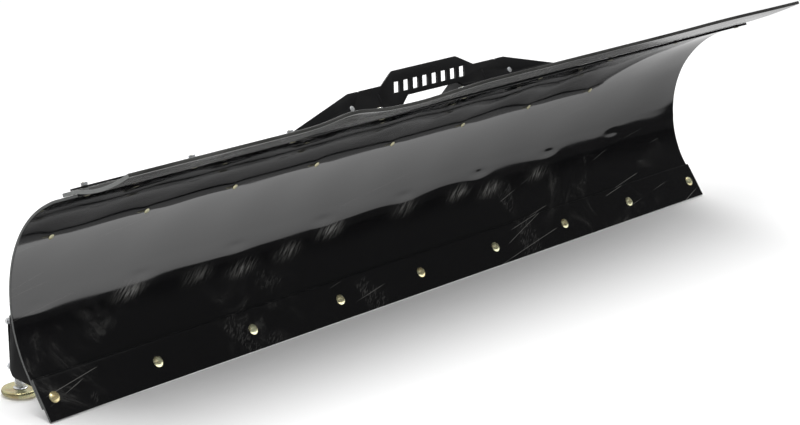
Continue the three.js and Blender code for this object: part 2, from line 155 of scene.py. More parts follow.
class BladeSizes(bpy.types.PropertyGroup):
    """Small shapes that the frame leaves plain."""

    edge: bpy.props.FloatProperty(
        name="Edge rounding",
        description="Radius on the cut edges of sheet and bar",
        default=0.6 * MM,
        min=0.05 * MM,
        max=1.5 * MM,
        unit="LENGTH",
    )
    waviness: bpy.props.FloatProperty(
        name="Skin waviness",
        description="How far the rolled skin strays from its true curve",
        default=0.75 * MM,
        min=0.0,
        max=1.2 * MM,
        unit="LENGTH",
    )
    bead: bpy.props.FloatProperty(
        name="Weld bead",
        description="Radius of the weld beads",
        default=2.3 * MM,
        min=0.5 * MM,
        max=5 * MM,
        unit="LENGTH",
    )
    flap_ripple: bpy.props.FloatProperty(
        name="Flap ripple",
        description="Height of the bump in the flap's free edge",
        default=9 * MM,
        min=0.0,
        max=9 * MM,
        unit="LENGTH",
    )


class BladeColours(bpy.types.PropertyGroup):
    """Colours of the finishes."""

    skin: bpy.props.FloatVectorProperty(
        name="Skin",
        description="Gloss sheet",
        subtype="COLOR",
        default=(0.0052, 0.0052, 0.0056),
        min=0,
        max=1,
    )
    paint: bpy.props.FloatVectorProperty(
        name="Frame paint",
        description="Powder coat on the frame",
        subtype="COLOR",
        default=(0.0075, 0.0075, 0.008),
        min=0,
        max=1,
    )
    scuff: bpy.props.FloatVectorProperty(
        name="Scuffs",
        description="Rubbed marks on gloss black",
        subtype="COLOR",
        default=(0.16, 0.158, 0.15),
        min=0,
        max=1,
    )
    rubber: bpy.props.FloatVectorProperty(
        name="Rubber",
        description="The flap's faces",
        subtype="COLOR",
        default=(0.03, 0.03, 0.0285),
        min=0,
        max=1,
    )
    # Pale grey for the flap's sawn edges and dust specks, and the painted reflection on the gloss
    # pieces' end faces.
    cut_edge_and_sheen: bpy.props.FloatVectorProperty(
        name="Cut edge",
        description="Sawn and sheared edges",
        subtype="COLOR",
        default=(0.17, 0.175, 0.172),
        min=0,
        max=1,
    )
    yellow_zinc: bpy.props.FloatVectorProperty(
        name="Yellow zinc",
        description="Plating on the bolts and skid discs",
        subtype="COLOR",
        default=(0.84, 0.77, 0.47),
        min=0,
        max=1,
    )
    silver_zinc: bpy.props.FloatVectorProperty(
        name="Clear zinc",
        description="Plating on the posts, nuts and set screws",
        subtype="COLOR",
        default=(0.88, 0.885, 0.88),
        min=0,
        max=1,
    )


class BladeStage(bpy.types.PropertyGroup):
    """Floor and light."""

    floor: bpy.props.FloatVectorProperty(
        name="Floor",
        description="Colour of the floor",
        subtype="COLOR",
        default=(0.93, 0.93, 0.93),
        min=0,
        max=1,
    )
    sky: bpy.props.FloatProperty(
        name="Sky", description="Strength of the even light", default=1.2, min=0, max=3
    )
    key: bpy.props.FloatProperty(
        name="Key light",
        description="Power of the large lamp overhead",
        default=42,
        min=0,
        max=400,
        unit="POWER",
    )


# ---- meshes ----


def solid_volume(points, faces):
    """Signed volume: the sum over each face's fan of a . (b x c) / 6."""
    total = 0.0
    for face in faces:
        corners = points[face]
        a, b, c = corners[..., :1, :], corners[..., 1:-1, :], corners[..., 2:, :]
        total += (np.cross(b, c) * a).sum() / 6
    return total


def shell(rings, wrap=False, tag=None, sheet=False):
    """Points, quads and end caps of a skin over rings.

    Point j of ring i joins point j of ring i + 1, and each ring closes on itself. With wrap the
    last ring joins the first, and otherwise each end ring is one flat face. A sheet's ends are
    strips of quads instead, where point k faces point n - 1 - k across the thickness.
    """
    count, around = rings.shape[:2]
    points = rings.reshape(-1, 3)
    i = np.arange(count if wrap else count - 1)[:, None]
    j = np.arange(around)[None, :]
    after, beside = (i + 1) % count, (j + 1) % around
    corners = [i * around + j, i * around + beside, after * around + beside, after * around + j]
    quads = np.stack(corners, axis=-1).reshape(-1, 4)
    caps = [] if wrap else [np.arange(around)[::-1], np.arange(around) + (count - 1) * around]
    if sheet:
        k = np.arange(around // 2 - 1)
        strip = np.stack([k, around - 1 - k, around - 2 - k, k + 1], axis=1)
        quads = np.concatenate([quads, strip, strip[:, ::-1] + (count - 1) * around])
        caps = []
    if solid_volume(points, [quads, *[c[None, :] for c in caps]]) < 0:
        quads = quads[:, ::-1]
        caps = [c[::-1] for c in caps]
    marks = np.zeros(len(points)) if tag is None else tag.reshape(-1)
    return points, quads, caps, marks


def piece(name, shells, sharp=35):
    """One object made of closed shells, smooth but for edges over an angle."""
    points, faces, marks, first = [], [], [], 0
    for p, quads, caps, tag in shells:
        points.append(p)
        marks.append(tag)
        faces += (quads + first).tolist() + [(c + first).tolist() for c in caps]
        first += len(p)
    mesh = bpy.data.meshes.new(name)
    mesh.from_pydata(np.concatenate(points).tolist(), [], faces)
    rim = mesh.attributes.new("rim", "FLOAT", "POINT")
    rim.data.foreach_set("value", np.concatenate(marks).astype(np.float32))
    mesh.shade_smooth()
    mesh.set_sharp_from_angle(angle=math.radians(sharp))
    made = bpy.data.objects.new(name, mesh)
    bpy.context.scene.collection.objects.link(made)
    return made


def finish_piece(made, material, body, slot, *nodes):
    """Gives a piece its material and body, and hides the CAD nodes that it stands for; the slot is
    not used.
    """
    made.data.materials.clear()
    made.data.materials.append(material)
    if nodes:
        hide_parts(*nodes)
    if body is not None:
        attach(made, body)
    return made


def loop_around(line, thick, normals, edge):
    """A thin section: out along a line, round its end, back behind it and round its start.

    It begins halfway down the start's end face. The four corners are quarter circles of the edge
    radius. Returns points, inward directions and a tag that is 1 on the two end faces.
    """
    turns = np.radians([0, 30, 60, 90])
    tangent = np.gradient(line, axis=0)
    tangent /= np.linalg.norm(tangent, axis=1)[:, None]
    parts, inward, tag = [], [], []

    def side(points, out):
        """Adds a run of points that face out."""
        parts.append(points)
        inward.append(-out)
        tag.append(np.zeros(len(points)))

    def corner(centre, first, second):
        """Adds a quarter circle that turns from the first direction to the second."""
        out = np.cos(turns)[:, None] * first + np.sin(turns)[:, None] * second
        parts.append(centre + edge * out)
        inward.append(-out)
        tag.append(np.array([0.0, 0.5, 1.0, 1.0]))

    ahead, behind = tangent[-1], -tangent[0]
    front, back = -normals, normals
    trim = slice(1, -1)
    side(line[trim], front[trim])
    last, start = line[-1] - ahead * edge, line[0] - behind * edge
    corner(last + normals[-1] * edge, front[-1], ahead)
    corner(last + normals[-1] * (thick - edge), ahead, back[-1])
    tag[-1] = tag[-1][::-1]
    side((line + normals * thick)[trim][::-1], back[trim][::-1])
    corner(start + normals[0] * (thick - edge), back[0], behind)
    corner(start + normals[0] * edge, behind, front[0])
    tag[-1] = tag[-1][::-1]
    return [np.concatenate(part[-1:] + part[:-1]) for part in (parts, inward, tag)]


def along_x(section, inward, tag, low, high, edge, step=0.02, shift=None):
    """A section carried along X with rounded ends.

    Near each end the section draws in by edge * (1 - sin t) while x goes in by edge * (1 - cos t).
    shift, if given, moves points outwards by a function of x and the place along the section.
    """
    turns = np.radians([0, 30, 60, 90])
    ends = edge * (1 - np.cos(turns))
    draw = edge * (1 - np.sin(turns))
    count = max(2, int((high - low) / step))
    near = [low + 3 * edge, high - 3 * edge]
    inner = np.linspace(low + 5 * edge, high - 5 * edge, count)
    xs = np.concatenate([low + ends, near[:1], inner, near[1:], (high - ends)[::-1]])
    pull = np.concatenate([draw, np.zeros(count + 2), draw[::-1]])
    end_tag = np.concatenate([[1, 1, 0.5, 0], np.zeros(count + 2), [0, 0.5, 1, 1]])
    yz = section[None, :, :] + inward[None, :, :] * pull[:, None, None]
    if shift is not None:
        yz = yz + shift(xs)
    rings = np.empty((len(xs), len(section), 3))
    rings[..., 0] = xs[:, None]
    rings[..., 1:] = yz
    marks = np.maximum(end_tag[:, None], tag[None, :])
    return shell(rings, tag=marks, sheet=True)


def flat_bar(origin, up, back, low, high, near, far, ends, edge):
    """A flat bar along X from its place on a flat, with rounded edges."""
    line = origin + np.linspace(low, high, 9)[:, None] * up + near * back
    normals = np.repeat(back[None, :], len(line), axis=0)
    section = loop_around(line, far - near, normals, edge)
    return along_x(*section, ends[0], ends[1], edge, step=0.05)


def turned(profile, place, axis, sides=48, wrap=False):
    """A profile of radius and height turned about an axis.

    A radius may be a number or one number for each side, so that a hexagon turns as well.
    """
    axis = np.asarray(axis, float) / np.linalg.norm(axis)
    across = np.cross(axis, [1.0, 0.0, 0.0])
    if np.linalg.norm(across) < 0.1:
        across = np.cross(axis, [0.0, 1.0, 0.0])
    across /= np.linalg.norm(across)
    other = np.cross(axis, across)
    theta = np.arange(sides) * 2 * np.pi / sides
    radius = np.stack([np.broadcast_to(r, (sides,)) for r, _ in profile])
    height = np.array([h for _, h in profile])
    spoke = np.cos(theta)[:, None] * across + np.sin(theta)[:, None] * other
    rings = np.asarray(place) + height[:, None, None] * axis + radius[..., None] * spoke[None]
    return shell(rings, wrap=wrap)


def hexagon(flats, sides, limit):
    """Radius of a hexagon at each side's angle, cut to a circle where its corners are chamfered."""
    theta = np.arange(sides) * 2 * np.pi / sides
    folded = (theta + np.pi / 6) % (np.pi / 3) - np.pi / 6
    return np.minimum(flats / 2 / np.cos(folded), limit)


def hex_side(flats, sides, low, high, both=True):
    """Rings up the side of a nut: the corners are cut by a cone at one end or both."""
    corner = flats / math.sqrt(3)
    face = flats / 2 * 0.96
    slope = 1.8
    depth = (corner - face) / slope
    rings = []
    for share in (0.0, 0.2, 0.5, 1.0):
        rings.append((hexagon(flats, sides, face + share * (corner - face)), share * depth))
    start = [(r, low + h) for r, h in rings] if both else [(hexagon(flats, sides, corner), low)]
    return start + [(r, high - h) for r, h in reversed(rings)]


def dome(radius, height, edge, base, sides_up=9):
    """A round head's profile: a shallow cap on a short upright edge, from its top outwards."""
    share = np.linspace(0.06, 1, sides_up)
    fall = (height - edge) * (1 - np.sqrt(1 - (0.92 * share) ** 2)) / (1 - math.sqrt(1 - 0.92**2))
    rings = [(radius * s, base - height + f) for s, f in zip(share, fall)]
    rings.append((radius, base - edge * 0.35))
    rings.append((radius * 0.985, base))
    return rings


def bolt_shell(size, x, place, back, grip):
    """A carriage bolt: a dome, a shank and a chamfered end, turned about the back direction."""
    shank, head, height, _, nut_height = (v * MM for v in size)
    end = grip + GAP + nut_height + BOLT_END
    rings = dome(head, height, 0.5 * MM, -GAP)
    rings += [(shank, -GAP + 0.01 * MM), (shank, end - 0.5 * MM), (shank * 0.86, end)]
    rings += [(shank * 0.1, end)]
    return turned(rings, (x, *place), (0, *back), NUT_SIDES)


def nut_shell(size, x, place, back, grip):
    """A nut: a chamfered hexagon, countersunk where the bolt's thread comes out."""
    shank, _, _, flats, nut_height = (v * MM for v in size)
    near = grip + GAP
    far = near + nut_height
    bore = shank + 0.05 * MM
    rings = [(bore, near)] + hex_side(flats, NUT_SIDES, near, far)
    rings += [(bore + 0.6 * MM, far), (bore, far - 0.6 * MM)]
    return turned(rings, (x, *place), (0, *back), NUT_SIDES, wrap=True)


def bead(path, radius, ripple=0.16, pitch=2.6 * MM):
    """A weld bead: a round section carried along a path, swelling at each ripple.

    Its radius is radius * (1 + ripple * |sin|) of the distance, and falls away at both ends.
    """
    path = np.asarray(path, float)
    steps = np.linalg.norm(np.diff(path, axis=0), axis=1)
    distance = np.concatenate([[0], np.cumsum(steps)])
    length = distance[-1]
    count = max(10, int(length / (0.6 * MM)))
    at = np.linspace(0, length, count)
    line = np.stack([np.interp(at, distance, path[:, k]) for k in range(3)], axis=1)
    tangent = np.gradient(line, axis=0)
    tangent /= np.linalg.norm(tangent, axis=1)[:, None]
    lead = np.array([0.31, 0.22, 0.92])
    first = np.cross(tangent, lead)
    first /= np.linalg.norm(first, axis=1)[:, None]
    second = np.cross(tangent, first)
    ends = np.clip(np.minimum(at, length - at) / (1.6 * radius), 0.02, 1)
    size = radius * np.sqrt(ends * (2 - ends)) * (1 + ripple * np.abs(np.sin(np.pi * at / pitch)))
    theta = np.arange(BEAD_SIDES) * 2 * np.pi / BEAD_SIDES
    across, along = np.cos(theta)[None, :, None], np.sin(theta)[None, :, None]
    ring = across * first[:, None] + along * second[:, None]
    return shell(line[:, None, :] + size[:, None, None] * ring)


def softened(name, node, width):
    """A copy of a CAD node with its triangles merged into flats and its edges rounded."""
    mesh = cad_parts[node].data.copy()
    work = bmesh.new()
    work.from_mesh(mesh)
    bmesh.ops.remove_doubles(work, verts=work.verts, dist=0.01 * MM)
    bmesh.ops.dissolve_limit(
        work, angle_limit=math.radians(0.6), verts=work.verts, edges=work.edges
    )
    work.to_mesh(mesh)
    work.free()
    mesh.name = name
    mesh.shade_smooth()
    made = bpy.data.objects.new(name, mesh)
    bpy.context.scene.collection.objects.link(made)
    bevel = made.modifiers.new("rounded edges", "BEVEL")
    bevel.width = width
    bevel.segments = 2
    bevel.limit_method = "ANGLE"
    bevel.angle_limit = math.radians(35)
    bevel.harden_normals = True
    return made


# ---- shader nodes ----


class Tree:
    """Adds and joins shader nodes with little writing."""

    def __init__(self, tree):
        self.tree = tree

    def add(self, kind, values=None, **settings):
        """Adds a node, with values for its sockets and settings for itself."""
        node = self.tree.nodes.new("ShaderNode" + kind)
        for key, value in settings.items():
            setattr(node, key, value)
        for key, value in (values or {}).items():
            self.put(node.inputs[key], value)
        return node

    def put(self, socket, value):
        """Joins a socket to another, or sets its value."""
        if isinstance(value, bpy.types.NodeSocket):
            self.tree.links.new(value, socket)
        else:
            socket.default_value = value

    def math(self, operation, a, b=0.0, clamp=False):
        """One arithmetic step on two values."""
        node = self.add("Math", {0: a, 1: b}, operation=operation, use_clamp=clamp)
        return node.outputs[0]

    def span(self, value, low, high, to_low=0.0, to_high=1.0, smooth=True):
        """Maps low to high onto another range, held at both ends."""
        kind = "SMOOTHSTEP" if smooth else "LINEAR"
        values = {"Value": value, "From Min": low, "From Max": high}
        values.update({"To Min": to_low, "To Max": to_high})
        return self.add("MapRange", values, interpolation_type=kind).outputs["Result"]

    def mix(self, share, a, b):
        """A blend of two colours."""
        node = self.add("Mix", {0: share, 6: a, 7: b}, data_type="RGBA")
        return node.outputs[2]

    def place(self, vector, scale=(1, 1, 1), turn=(0, 0, 0)):
        """Coordinates scaled and then turned by degrees."""
        values = {"Vector": vector, "Scale": scale, "Rotation": [math.radians(t) for t in turn]}
        return self.add("Mapping", values).outputs["Vector"]

    def noise(self, vector, scale, detail=2.0, rough=0.5, distort=0.0):
        """A noise from 0 to 1."""
        values = {"Vector": vector, "Scale": scale, "Detail": detail}
        values.update({"Roughness": rough, "Distortion": distort})
        return self.add("TexNoise", values).outputs["Fac"]


def group(name, inputs, outputs):
    """A node group with named sockets, and its tree, input and output nodes."""
    made = bpy.data.node_groups.new(name, "ShaderNodeTree")
    kinds = {"Vector": "NodeSocketVector", "Color": "NodeSocketColor"}
    for label, default in inputs:
        kind = kinds.get(label.split()[-1], "NodeSocketFloat")
        socket = made.interface.new_socket(label, in_out="INPUT", socket_type=kind)
        if default is not None:
            socket.default_value = default
    for label in outputs:
        kind = kinds.get(label.split()[-1], "NodeSocketFloat")
        made.interface.new_socket(label, in_out="OUTPUT", socket_type=kind)
    return made, Tree(made), made.nodes.new("NodeGroupInput"), made.nodes.new("NodeGroupOutput")


def hairline_group():
    """Straight thin scratches: lines at an even pitch, each kept or dropped at random along it."""
    made, t, given, out = group(
        "Hairline scratches",
        [("Vector", None), ("Pitch", 40.0), ("Width", 0.02), ("Amount", 0.5)],
        ["Mask"],
    )
    split = t.add("SeparateXYZ", {0: given.outputs["Vector"]})
    drift = t.noise(given.outputs["Vector"], 1.3, 1.0)
    across = t.math("ADD", split.outputs["Z"], t.math("MULTIPLY", drift, 0.02))
    lines = t.math("MULTIPLY", across, given.outputs["Pitch"])
    phase = t.math("FRACT", lines)
    near = t.math("ABSOLUTE", t.math("SUBTRACT", phase, 0.5))
    line = t.math("LESS_THAN", near, given.outputs["Width"])
    which = t.math("FLOOR", lines)
    seed = t.add("CombineXYZ", {0: t.math("MULTIPLY", split.outputs["X"], 1.6), 1: which, 2: which})
    keep = t.noise(seed.outputs[0], 2.7, 2.0)
    limit = t.math("SUBTRACT", 0.7, t.math("MULTIPLY", given.outputs["Amount"], 0.25))
    kept = t.span(t.math("SUBTRACT", keep, limit), 0.0, 0.04)
    t.put(out.inputs["Mask"], t.math("MULTIPLY", line, kept))
    return made


def scuff_group():
    """Rubbed patches: short slanting hairs inside soft blots, and faint smoky traces."""
    made, t, given, out = group(
        "Scuff patches",
        [("Vector", None), ("Scale", 5.0), ("Amount", 0.5)],
        ["Mask", "Traces"],
    )
    vector = given.outputs["Vector"]
    blots = t.noise(vector, given.outputs["Scale"], 2.0, 0.5, 0.6)
    edge = t.math("SUBTRACT", 0.74, t.math("MULTIPLY", given.outputs["Amount"], 0.22))
    blot = t.span(t.math("SUBTRACT", blots, edge), 0.0, 0.07)
    slanted = t.place(t.place(vector, turn=(0, -50, 0)), (160, 60, 30))
    hairs = t.noise(slanted, 2.2, 3.0, 0.6)
    t.put(out.inputs["Mask"], t.math("MULTIPLY", blot, t.span(hairs, 0.45, 0.7)))
    smoke = t.span(t.noise(vector, 7.0, 8.0, 0.68, 2.2), 0.5, 0.78)
    wide = t.span(t.noise(vector, 2.6, 1.0), 0.46, 0.6)
    t.put(out.inputs["Traces"], t.math("MULTIPLY", smoke, wide))
    return made


def dust_group():
    """Fine specks and a slow cloudy film."""
    made, t, given, out = group("Dust", [("Vector", None)], ["Specks", "Film"])
    vector = given.outputs["Vector"]
    specks = t.add("TexVoronoi", {"Vector": vector, "Scale": 420.0}, feature="F1")
    near = t.span(specks.outputs["Distance"], 0.16, 0.05)
    chance = t.math("GREATER_THAN", t.noise(vector, 37.0, 2.0), 0.6)
    t.put(out.inputs["Specks"], t.math("MULTIPLY", near, chance))
    t.put(out.inputs["Film"], t.noise(vector, 6.0, 5.0, 0.6, 0.4))
    return made


def grain_group():
    """Bump heights: a close grain and a slow unevenness."""
    made, t, given, out = group("Grain", [("Vector", None), ("Scale", 900.0)], ["Fine", "Slow"])
    t.put(out.inputs["Fine"], t.noise(given.outputs["Vector"], given.outputs["Scale"], 3.0, 0.6))
    t.put(out.inputs["Slow"], t.noise(given.outputs["Vector"], 26.0, 2.0, 0.5))
    return made


class Finishes:
    """The blade's materials, each made when it is first asked for."""

    def __init__(self):
        self.groups = {}
        self.made = {}

    def use(self, tree, name, maker, **values):
        """Adds a shared node group to a tree and returns its outputs."""
        if name not in self.groups:
            self.groups[name] = maker()
        node = tree.tree.nodes.new("ShaderNodeGroup")
        node.node_tree = self.groups[name]
        for key, value in values.items():
            tree.put(node.inputs[key], value)
        return node.outputs

    def start(self, name, shader_values):
        """An empty material with its shader, and its object coordinates."""
        material = bpy.data.materials.new(name)
        material.use_nodes = True
        material.node_tree.nodes.clear()
        tree = Tree(material.node_tree)
        shader = tree.add("BsdfPrincipled", shader_values)
        output = tree.add("OutputMaterial")
        tree.put(output.inputs["Surface"], shader.outputs[0])
        coords = tree.add("TexCoord").outputs["Object"]
        return material, tree, shader, coords

    def get(self, name):
        """The named finish."""
        if name not in self.made:
            self.made[name] = getattr(self, name)()
        return self.made[name]

    def gloss_black(self, name, base, amount, low_rise, high_rise, rough):
        """Gloss black with scuffs, hairlines, dust, and a painted reflection that makes the cut ends
        paler.
        """
        colours = bpy.context.scene.blade_colours
        material, t, shader, coords = self.start(name, {"IOR": 1.5})
        rise = t.add("SeparateXYZ", {0: coords}).outputs["Z"]
        lower = t.span(rise, high_rise, low_rise)
        scuff = self.use(t, "Scuff patches", scuff_group, Vector=coords, Amount=amount, Scale=5.5)
        hairs = self.use(
            t,
            "Hairline scratches",
            hairline_group,
            Vector=t.place(coords, turn=(0, 8.0, 0)),
            Amount=amount,
            Pitch=26.0,
            Width=0.012,
        )
        slanted = self.use(
            t,
            "Hairline scratches",
            hairline_group,
            Vector=t.place(coords, turn=(0, 15, 0)),
            Amount=amount * 0.8,
            Pitch=17.0,
            Width=0.008,
        )
        dust = self.use(t, "Dust", dust_group, Vector=coords)
        rub = t.add("Attribute", attribute_name="rub").outputs["Fac"]
        hair = t.place(t.place(coords, turn=(0, -48, 0)), (430, 40, 34))
        hair = t.noise(hair, 1.0, 3.0, 0.6)
        feather = t.math("MULTIPLY", rub, t.span(hair, 0.4, 0.66, 0.12, 1.6))
        rubbed = t.math("MULTIPLY", t.math("MULTIPLY", scuff["Mask"], lower), 0.35)
        rubbed = t.math("MAXIMUM", rubbed, feather)
        lines = t.math("MAXIMUM", hairs["Mask"], slanted["Mask"])
        lines = t.math("MULTIPLY", lines, t.math("ADD", t.math("MULTIPLY", lower, 0.8), 0.2))
        traces = t.math("MULTIPLY", t.math("MULTIPLY", scuff["Traces"], lower), 0.28)
        marks = t.math("MAXIMUM", t.math("MULTIPLY", rubbed, 0.7), t.math("MULTIPLY", lines, 0.7))
        marks = t.math("MAXIMUM", marks, traces)
        marks = t.math("MAXIMUM", marks, t.math("MULTIPLY", dust["Specks"], 0.12))
        colour = t.mix(marks, (*base, 1), (*colours.scuff, 1))
        # Painted reflection: the end faces, where rim is near 1, are mixed towards a pale grey as if
        # they caught the light.
        rim = t.add("Attribute", attribute_name="rim").outputs["Fac"]
        edge = t.span(rim, 0.7, 0.95, 0.0, 0.55)
        colour = t.mix(edge, colour, (*colours.cut_edge_and_sheen, 1))
        t.put(shader.inputs["Base Color"], colour)
        smear = t.span(dust["Film"], 0.35, 0.75, rough, rough + 0.07)
        roughness = t.math("ADD", smear, t.math("MULTIPLY", rubbed, 0.3))
        roughness = t.math("ADD", roughness, t.math("MULTIPLY", edge, 0.4), clamp=True)
        t.put(shader.inputs["Roughness"], roughness)
        grain = self.use(t, "Grain", grain_group, Vector=coords, Scale=700.0)
        height = t.math("ADD", grain["Slow"], t.math("MULTIPLY", grain["Fine"], 0.03))
        bump = t.add("Bump", {"Strength": 0.35, "Distance": 0.0001, "Height": height})
        t.put(shader.inputs["Normal"], bump.outputs[0])
        return material

    def skin(self):
        """The curved skin."""
        base = bpy.context.scene.blade_colours.skin
        return self.gloss_black("Gloss black skin", base, 0.5, 0.10, 0.17, 0.035)

    def worn_bar(self):
        """The wear bar, rubbed a little more than the skin."""
        base = bpy.context.scene.blade_colours.skin
        return self.gloss_black("Scuffed black bar", base, 0.62, 0.10, 0.17, 0.06)

    def paint(self):
        """Satin powder coat with a faint orange-peel surface and dust."""
        colours = bpy.context.scene.blade_colours
        material, t, shader, coords = self.start(
            "Black powder coat", {"IOR": 1.45, "Specular IOR Level": 0.42}
        )
        dust = self.use(t, "Dust", dust_group, Vector=coords)
        hairs = self.use(
            t, "Hairline scratches", hairline_group, Vector=coords, Amount=0.35, Pitch=90.0
        )
        marks = t.math("MULTIPLY", dust["Specks"], 0.2)
        marks = t.math("MAXIMUM", marks, t.math("MULTIPLY", hairs["Mask"], 0.3))
        film = t.span(dust["Film"], 0.5, 0.8, 0.0, 0.05)
        marks = t.math("ADD", marks, film)
        t.put(shader.inputs["Base Color"], t.mix(marks, (*colours.paint, 1), (*colours.scuff, 1)))
        t.put(shader.inputs["Roughness"], t.span(dust["Film"], 0.3, 0.8, 0.26, 0.4))
        grain = self.use(t, "Grain", grain_group, Vector=coords, Scale=480.0)
        bump = t.add("Bump", {"Strength": 0.3, "Distance": 0.0002, "Height": grain["Fine"]})
        t.put(shader.inputs["Normal"], bump.outputs[0])
        return material

    def rubber(self):
        """Matte grey rubber: dusty mottling, calender lines and paler sawn edges."""
        colours = bpy.context.scene.blade_colours
        material, t, shader, coords = self.start("Grey rubber", {"IOR": 1.5})
        dust = self.use(t, "Dust", dust_group, Vector=coords)
        streak = t.noise(t.place(coords, (5, 60, 60)), 2.0, 4.0, 0.6)
        tone = t.math("ADD", t.math("MULTIPLY", dust["Film"], 0.6), t.math("MULTIPLY", streak, 0.5))
        dark = [c * 0.6 for c in colours.rubber]
        pale = [c * 1.5 for c in colours.rubber]
        colour = t.mix(t.span(tone, 0.35, 0.75), (*dark, 1), (*pale, 1))
        colour = t.mix(t.math("MULTIPLY", dust["Specks"], 0.35), colour, (*colours.cut_edge_and_sheen, 1))
        rim = t.add("Attribute", attribute_name="rim").outputs["Fac"]
        edge = t.math("MULTIPLY", t.span(rim, 0.4, 0.9), t.span(streak, 0.2, 0.5, 0.75, 1.0))
        t.put(shader.inputs["Base Color"], t.mix(edge, colour, (*colours.cut_edge_and_sheen, 1)))
        t.put(shader.inputs["Roughness"], t.span(tone, 0.35, 0.75, 0.17, 0.3))
        grain = self.use(t, "Grain", grain_group, Vector=coords, Scale=620.0)
        height = t.math("ADD", grain["Fine"], t.math("MULTIPLY", streak, 0.7))
        bump = t.add("Bump", {"Strength": 0.4, "Distance": 0.0003, "Height": height})
        t.put(shader.inputs["Normal"], bump.outputs[0])
        return material

    def zinc(self, name, warm, cool, deep, rough):
        """Zinc plate: clouds of slightly different tint, fine pitting and rubbed hairlines."""
        material, t, shader, coords = self.start(name, {"Metallic": 0.75, "IOR": 1.8})
        cloud = t.noise(coords, 75.0, 3.0, 0.55, 1.2)
        slow = t.noise(coords, 31.0, 1.0, 0.5, 0.5)
        colour = t.mix(t.span(cloud, 0.38, 0.62), (*warm, 1), (*cool, 1))
        colour = t.mix(t.span(slow, 0.52, 0.72, 0.0, 0.6), colour, (*deep, 1))
        t.put(shader.inputs["Base Color"], colour)
        t.put(shader.inputs["Roughness"], t.span(cloud, 0.3, 0.7, rough, rough + 0.14))
        grain = self.use(t, "Grain", grain_group, Vector=coords, Scale=1500.0)
        bump = t.add("Bump", {"Strength": 0.25, "Distance": 0.0001, "Height": grain["Fine"]})
        t.put(shader.inputs["Normal"], bump.outputs[0])
        return material

    def yellow_zinc(self):
        """Bright yellow plate on the wear bolts."""
        base = np.array(bpy.context.scene.blade_colours.yellow_zinc)
        cool = base * (0.94, 1.05, 1.15)
        deep = base * (0.95, 0.78, 0.55)
        return self.zinc("Yellow zinc plate", base, cool, deep, 0.2)

    def silver_zinc(self):
        """Clear plate on nuts, posts and set screws."""
        base = np.array(bpy.context.scene.blade_colours.silver_zinc)
        return self.zinc("Clear zinc plate", base, base * (0.95, 0.98, 1.02), base * 0.8, 0.22)

    def disc_zinc(self):
        """Darker yellow plate on the skid discs."""
        base = np.array(bpy.context.scene.blade_colours.yellow_zinc) * (0.74, 0.7, 0.6)
        deep = base * (0.7, 0.55, 0.5)
        return self.zinc("Worn zinc plate", base, base * (0.86, 1.0, 1.1), deep, 0.16)

    def painted_shade_zinc(self):
        """The yellow zinc plate made darker: painted shade on the small bolt heads."""
        # Painted shade: the yellow zinc at 0.4 of its brightness, so the small bolt heads look dim.
        base = np.array(bpy.context.scene.blade_colours.yellow_zinc) * 0.4
        return self.zinc("Zinc plate with painted shade", base, base * (0.8, 0.85, 0.9), base * 0.3, 0.3)


finishes = Finishes()


# ---- the skin and wear bar ----


def skin_profile():
    """The skin's front face from its foot edge to its lip edge.

    A flat foot, an arc of the lower radius, a short upright, an arc of the upper radius and a flat
    lip. Returns points, normals out of the back and the turn at each point in degrees.
    """
    foot = np.linspace(-FOOT_BELOW, FOOT_ABOVE, 16)[:-1]
    low_turn = np.linspace(-FOOT_LEAN, 0, 34)
    high_turn = np.linspace(0, LIP_TURN, 66)
    lip = np.linspace(0, LIP_LENGTH, 14)[1:]

    def spokes(turn):
        """Directions out of the back at each turn."""
        return np.stack([np.cos(turn), np.sin(turn)], axis=1)

    parts = [
        skin_foot + foot[:, None] * foot_up,
        lower_centre + LOWER_RADIUS * spokes(low_turn),
        upper_centre + UPPER_RADIUS * spokes(high_turn),
        lip_start + lip[:, None] * lip_up,
    ]
    turn = np.concatenate(
        [np.full(len(foot), -FOOT_LEAN), low_turn, high_turn, np.full(len(lip), LIP_TURN)]
    )
    return np.concatenate(parts), spokes(turn), np.degrees(turn)


def smooth(value, low, high):
    """0 below low, 1 above high and an s-curve between."""
    share = np.clip((value - low) / (high - low), 0, 1)
    return share * share * (3 - 2 * share)


def skin_waves(turn, sizes, dents):
    """A function that moves the skin's section at each x along its normals.

    The sum of eight slow waves in x and turn, each with its own length and start, plus a shallow
    oval dent at each place in dents. It fades out at the foot, the rails and the lip.
    """
    rng = np.random.default_rng(11)
    lengths = rng.uniform(0.16, 0.62, 8)
    leans = rng.uniform(-1.6, 1.6, 8)
    starts = rng.uniform(0, 2 * np.pi, 8)
    calm = smooth(turn, -34, -22) * (1 - smooth(turn, 60, 69))
    calm = calm * (1 - 0.7 * np.exp(-(((turn - math.degrees(skin_bolt_turn)) / 7) ** 2)))

    def height(xs):
        """How far the section moves at each x."""
        phase = 2 * np.pi * xs[None, :, None] / lengths[:, None, None]
        phase = phase + leans[:, None, None] * np.radians(turn)[None, None, :] * 5
        waves = np.sin(phase + starts[:, None, None]).sum(axis=0) / 4
        made = sizes.waviness * (waves - 0.8) * calm
        for x, at, long, wide, depth in dents:
            across = np.radians(turn - at)[None, :] * LOWER_RADIUS
            apart = ((xs[:, None] - x) / long) ** 2 + (across / wide) ** 2
            made = made + depth * np.exp(-apart / 2)
        return made

    return height


